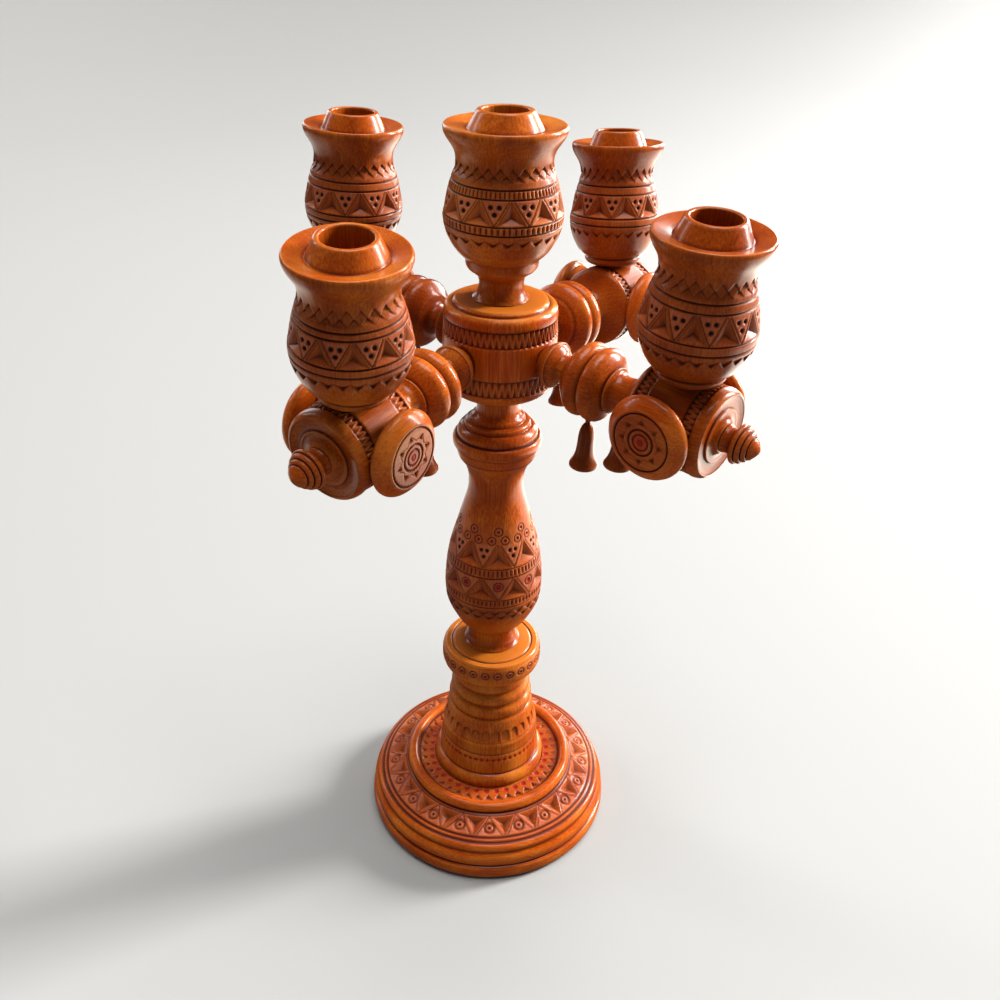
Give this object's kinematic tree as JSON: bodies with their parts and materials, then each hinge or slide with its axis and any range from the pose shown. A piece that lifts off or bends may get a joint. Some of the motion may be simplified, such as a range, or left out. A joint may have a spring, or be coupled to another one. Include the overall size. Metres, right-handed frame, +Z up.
{
  "type": "candelabra",
  "caption": "Turned and chip-carved wooden table candelabra: a central candle cup on a column and cups on side arms that plug into a round hub.",
  "frame": {"origin": "centre of the underside of the base, on the surface it stands on, on the column's axis", "axes": "+Z up along the column; the arms point outward near the diagonals between +X, +Y, -X and -Y; -Y is the front"},
  "size_m": [0.2303, 0.2451, 0.47],
  "materials": {
    "base_wood": "amber varnish over pear or beech, gloss, with bare carved bands in a paler pinkish brown",
    "column_wood": "amber-brown varnish, gloss, fine upright grain",
    "cup_wood": "amber varnish, gloss, matte pinkish carved bands",
    "arm_wood": "amber-brown varnish, gloss, darker in the grooves",
    "wheel_wood": "amber varnish on the rim, dark carved rings and star on the face",
    "bell_wood": "dark brown varnish, satin",
    "dowel_wood": "bare beech"
  },
  "bodies": {
    "column": {"base_plate": "base_wood", "column_foot": "column_wood", "ring_knop": "column_wood", "baluster": "column_wood", "hub": "column_wood", "center_cup": "cup_wood"},
    "front_left_arm_body": {"front_left_arm": "arm_wood", "front_left_finial": "arm_wood", "front_left_wheel_left": "wheel_wood", "front_left_wheel_right": "wheel_wood", "front_left_axle": "dowel_wood", "front_left_cup": "cup_wood", "front_left_bell_inner": "bell_wood", "front_left_bell_outer": "bell_wood"},
    "front_right_arm_body": {"front_right_arm": "arm_wood", "front_right_finial": "arm_wood", "front_right_wheel_left": "wheel_wood", "front_right_wheel_right": "wheel_wood", "front_right_axle": "dowel_wood", "front_right_cup": "cup_wood", "front_right_bell_inner": "bell_wood", "front_right_bell_outer": "bell_wood"},
    "rear_right_arm_body": {"rear_right_arm": "arm_wood", "rear_right_finial": "arm_wood", "rear_right_wheel_left": "wheel_wood", "rear_right_wheel_right": "wheel_wood", "rear_right_axle": "dowel_wood", "rear_right_cup": "cup_wood", "rear_right_bell_inner": "bell_wood", "rear_right_bell_outer": "bell_wood"},
    "rear_left_arm_body": {"rear_left_arm": "arm_wood", "rear_left_finial": "arm_wood", "rear_left_wheel_left": "wheel_wood", "rear_left_wheel_right": "wheel_wood", "rear_left_axle": "dowel_wood", "rear_left_cup": "cup_wood", "rear_left_bell_inner": "bell_wood", "rear_left_bell_outer": "bell_wood"}
  },
  "joints": [
    {"name": "front_left_arm_turn", "type": "hinge", "parent": "column", "child": "front_left_arm_body", "pos_m": [-0.00335, 0.00282, 0.34836], "axis": [-0.6482, -0.755, -0.0993], "range_deg": [-14, 26]},
    {"name": "front_right_arm_turn", "type": "hinge", "parent": "column", "child": "front_right_arm_body", "pos_m": [0.00066, 0.00061, 0.34793], "axis": [0.6839, -0.727, -0.0617], "range_deg": [-22.2, 17.8]},
    {"name": "rear_right_arm_turn", "type": "hinge", "parent": "column", "child": "rear_right_arm_body", "pos_m": [0.00101, -0.00096, 0.34802], "axis": [0.6906, 0.7202, -0.0663], "range_deg": [-15.2, 24.8]},
    {"name": "rear_left_arm_turn", "type": "hinge", "parent": "column", "child": "rear_left_arm_body", "pos_m": [0, 0, 0.3479], "axis": [-0.698, 0.7153, 0.0332], "range_deg": [-21.6, 18.4]}
  ]
}
